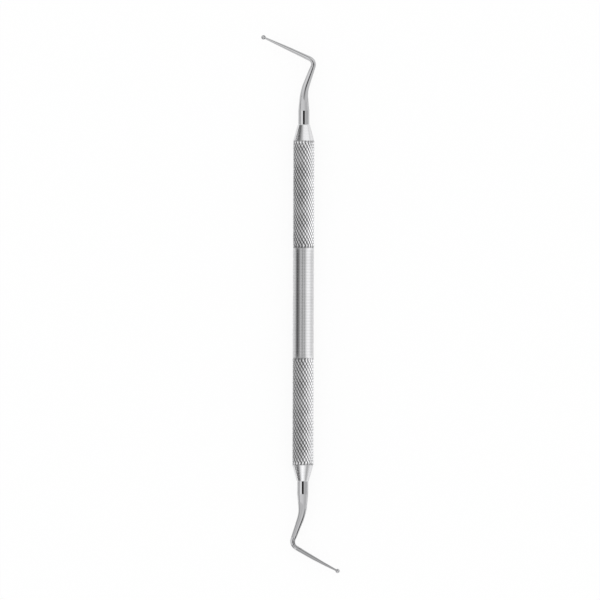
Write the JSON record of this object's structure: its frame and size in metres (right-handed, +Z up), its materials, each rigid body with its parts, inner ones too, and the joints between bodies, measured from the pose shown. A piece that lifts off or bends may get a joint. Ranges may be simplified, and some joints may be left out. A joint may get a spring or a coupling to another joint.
{
  "type": "dental spoon excavator",
  "caption": "Slim double-ended hand instrument: knurled round handle with a smooth middle band, tapered ferrules and bent shanks that end in small cupped spoons.",
  "frame": {"origin": "on the handle's axis, in the middle of the smooth band", "axes": "the instrument lies flat as on a tray: +Y along the handle towards the upper end, +X to the right, +Z up; both working ends are bent in the plane z = 0"},
  "size_m": [0.0249, 0.1673, 0.0066],
  "materials": {
    "satin_steel": "satin, turned and diamond knurled stainless steel",
    "turned_steel": "fine turned stainless steel",
    "polished_steel": "bright polished stainless steel"
  },
  "bodies": {
    "root": {"handle_tube": "satin_steel", "upper_ferrule": "turned_steel", "lower_ferrule": "turned_steel", "upper_working_end": "polished_steel", "lower_working_end": "polished_steel"}
  },
  "joints": []
}
